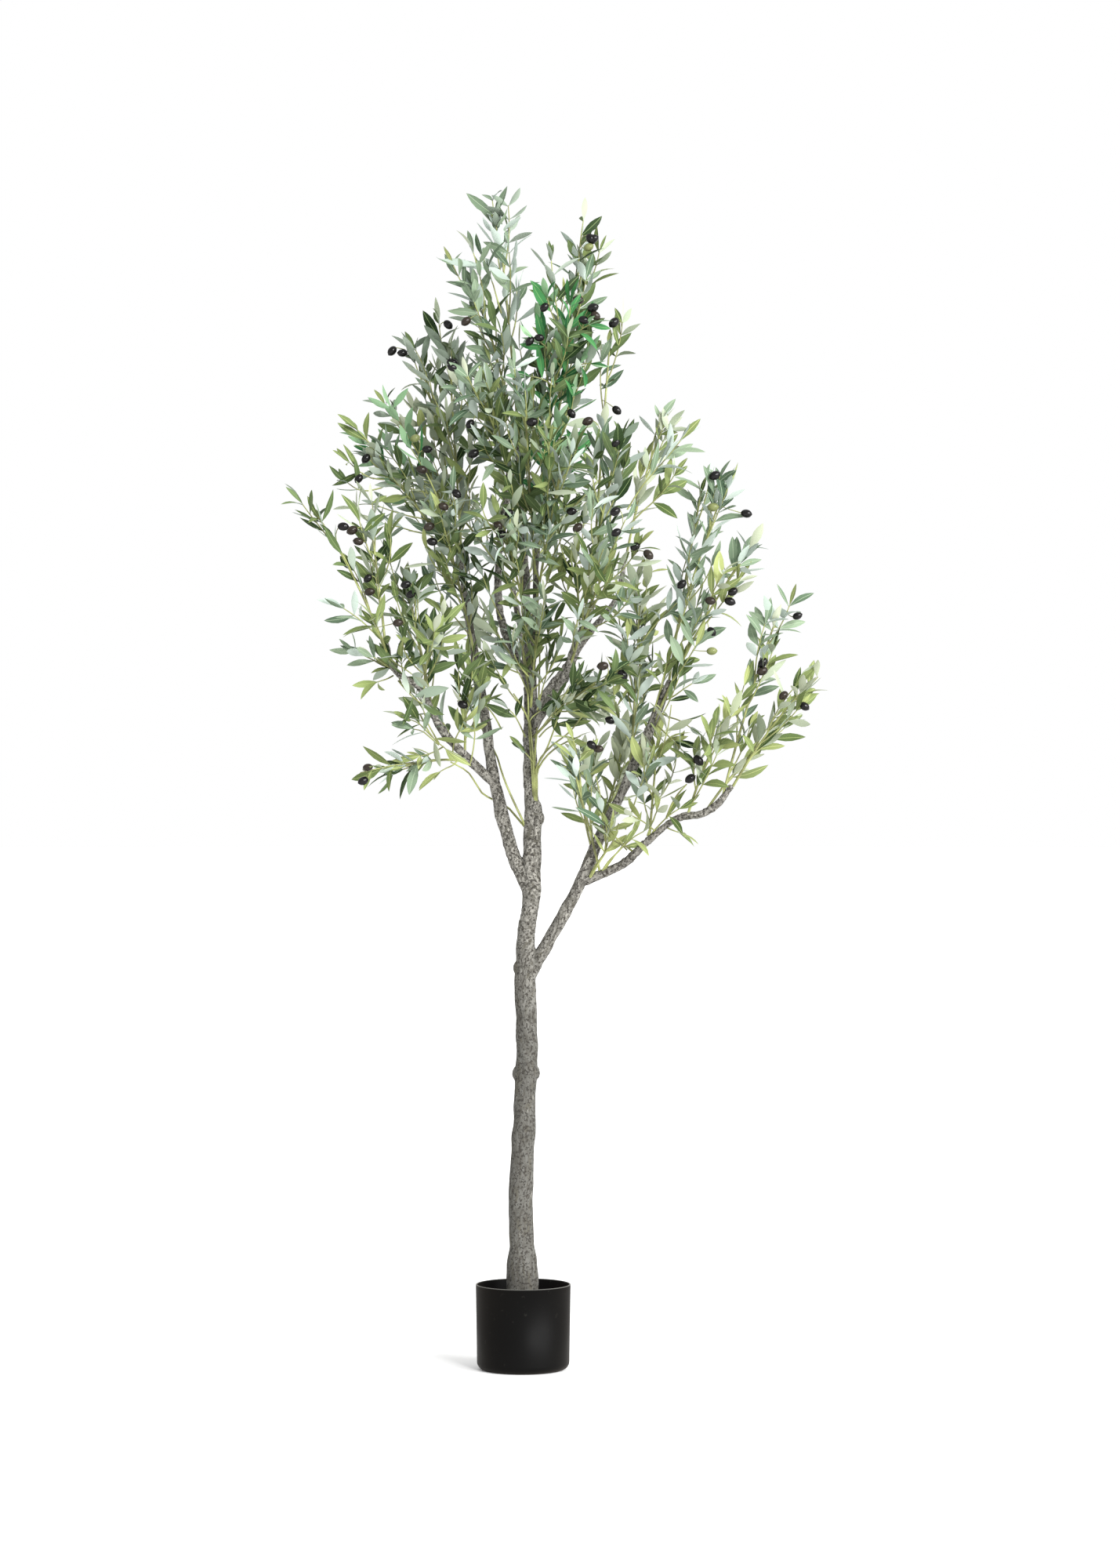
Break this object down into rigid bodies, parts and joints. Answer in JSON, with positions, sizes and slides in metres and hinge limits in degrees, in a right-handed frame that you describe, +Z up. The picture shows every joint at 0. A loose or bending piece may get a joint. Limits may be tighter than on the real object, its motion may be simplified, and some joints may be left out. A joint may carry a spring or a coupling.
{
  "type": "artificial olive tree",
  "caption": "Artificial olive tree with a knobbly trunk, tapering boughs and sprays of narrow leaves and olives, standing in a plain round pot.",
  "frame": {"origin": "centre of the pot's flat underside", "axes": "+Z up along the trunk, +X to the viewer's right and +Y away from the viewer as the picture shows the tree"},
  "size_m": [0.9315, 0.6352, 2.1299],
  "materials": {
    "pot": "black moulded plastic with a soft satin sheen",
    "fill": "dark cast weight, rough",
    "bark": "grey-brown moulded bark with fine upright furrows, dark pits and pale patches, dull",
    "leaf": "printed leaf cloth, dull green above and pale grey-green below, with glossy dark olives and yellow-green plastic stems",
    "stem": "yellow-green plastic-coated wire stem, satin",
    "olive": "glossy near-black plastic olive, a few brown or green"
  },
  "bodies": {
    "root": {"bough_back": "bark", "bough_back_left": "bark", "bough_back_right": "bark", "bough_left": "bark", "bough_left_side": "bark", "bough_right": "bark", "bough_right_side": "bark", "bough_upper_right": "bark", "foliage_back_left": "leaf", "foliage_back_left_out": "leaf", "foliage_back_low_left": "leaf", "foliage_back_low_right": "leaf", "foliage_back_mid": "leaf", "foliage_back_right": "leaf", "foliage_bright": "leaf", "foliage_centre_left": "leaf", "foliage_centre_low": "leaf", "foliage_dark_front": "leaf", "foliage_left_between": "leaf", "foliage_left_high": "leaf", "foliage_left_high_out": "leaf", "foliage_left_inner": "leaf", "foliage_left_low": "leaf", "foliage_left_mid": "leaf", "foliage_left_side_front": "leaf", "foliage_left_side_low": "leaf", "foliage_left_side_mid": "leaf", "foliage_left_side_out": "leaf", "foliage_left_tip": "leaf", "foliage_left_tip_out": "leaf", "foliage_left_top": "leaf", "foliage_left_top_inner": "leaf", "foliage_right_crest": "leaf", "foliage_right_far": "leaf", "foliage_right_front": "leaf", "foliage_right_high": "leaf", "foliage_right_inner": "leaf", "foliage_right_low_in": "leaf", "foliage_right_pale": "leaf", "foliage_right_low_rear": "leaf", "foliage_right_spire": "leaf", "foliage_right_top": "leaf", "foliage_right_wide": "leaf", "foliage_side_foot": "leaf", "foliage_side_inner": "leaf", "foliage_side_mid": "leaf", "foliage_side_tip": "leaf", "foliage_side_tip_low": "leaf", "foliage_side_tip_out": "leaf", "foliage_top": "leaf", "foliage_top_left": "leaf", "foliage_top_right": "leaf", "foliage_upper_front": "leaf", "foliage_upper_left": "leaf", "foliage_upper_mid": "leaf", "leader": "bark", "leader_fork": "bark", "pot": "pot", "pot_fill": "fill", "trunk": "bark"}
  },
  "joints": []
}
